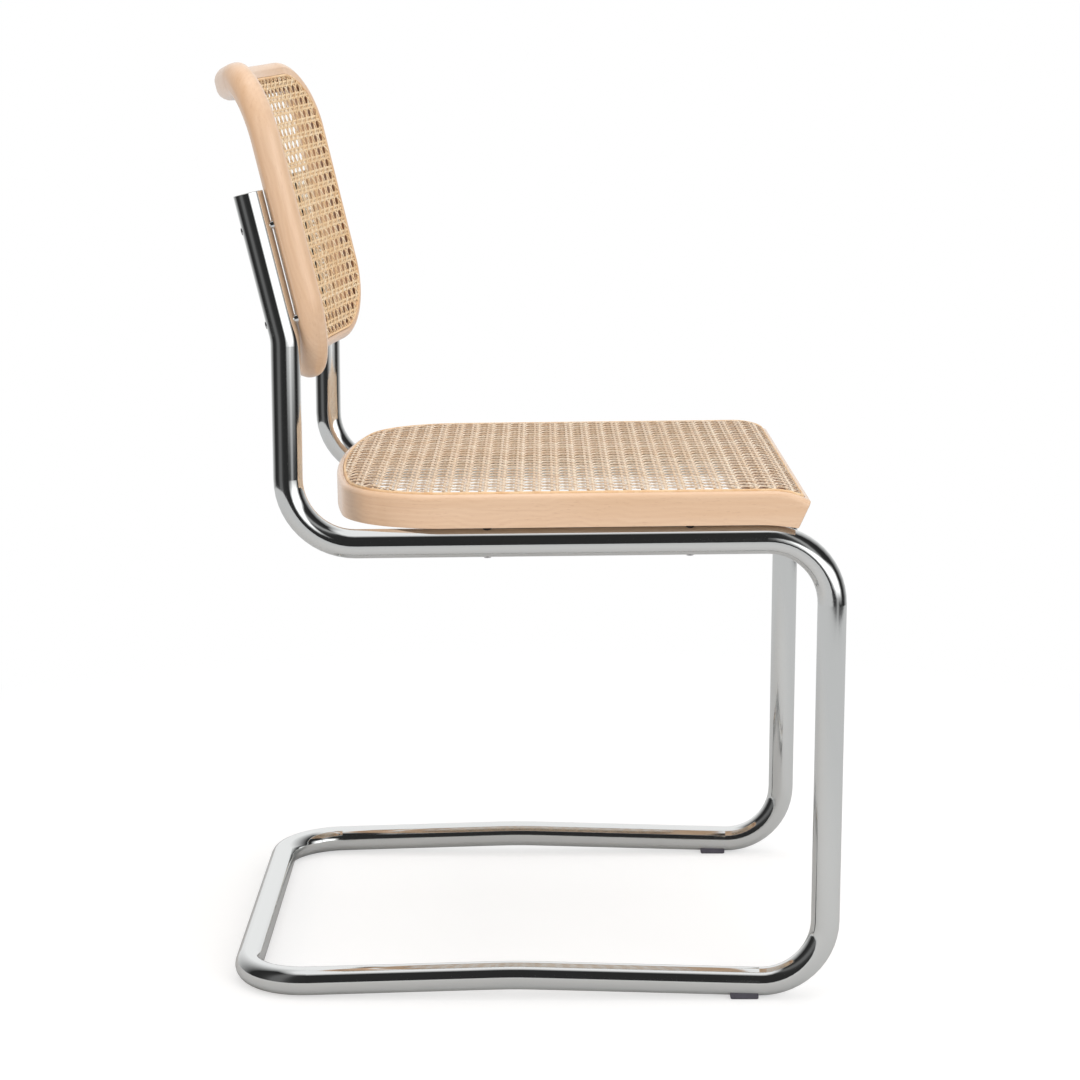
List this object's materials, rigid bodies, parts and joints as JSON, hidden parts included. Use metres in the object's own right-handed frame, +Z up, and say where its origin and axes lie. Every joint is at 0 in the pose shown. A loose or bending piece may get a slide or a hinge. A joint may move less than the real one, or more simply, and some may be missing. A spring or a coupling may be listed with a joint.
{
  "type": "cantilever chair",
  "caption": "Side chair without rear legs: one springy bent chromed tube carries a caned wooden seat and a curved, caned wooden back.",
  "frame": {"origin": "on the floor, under the middle of the chair's overall length and width", "axes": "+Z up, -Y towards the front of the seat, +X towards the left side as a sitter has it"},
  "size_m": [0.4674, 0.5618, 0.822],
  "materials": {
    "chromed_tube": "polished, mirror bright",
    "plug_plastic": "smooth, slightly dished",
    "glide_plastic": "smooth moulded",
    "beech": "pale, clear satin lacquer",
    "dowel_wood": "plain, unfinished",
    "cane": "woven cane, glossy skin side out",
    "rattan_spline": "plain reed, glued into the groove",
    "screw_steel": "bright plated, domed heads with a hexagon key",
    "spacer_plastic": "dark, plain",
    "spacer_chrome": "polished",
    "insert_steel": "plain plated"
  },
  "bodies": {
    "root": {"frame_tube": "chromed_tube", "upright_end_plugs": "plug_plastic", "front_glide_left": "glide_plastic", "front_glide_right": "glide_plastic", "seat_side_and_rear_frame": "beech", "seat_front_rail": "beech", "seat_dowels": "dowel_wood", "seat_cane_panel": "cane", "seat_cane_spline": "rattan_spline", "seat_screws": "screw_steel", "seat_spacers": "spacer_plastic", "seat_inserts": "insert_steel", "back_stile_left": "beech", "back_stile_right": "beech", "back_top_rail": "beech", "back_bottom_rail": "beech", "back_dowels": "dowel_wood", "back_cane_panel": "cane", "back_cane_spline": "rattan_spline", "back_screws": "screw_steel", "back_spacers": "spacer_chrome", "back_inserts": "insert_steel"}
  },
  "joints": []
}
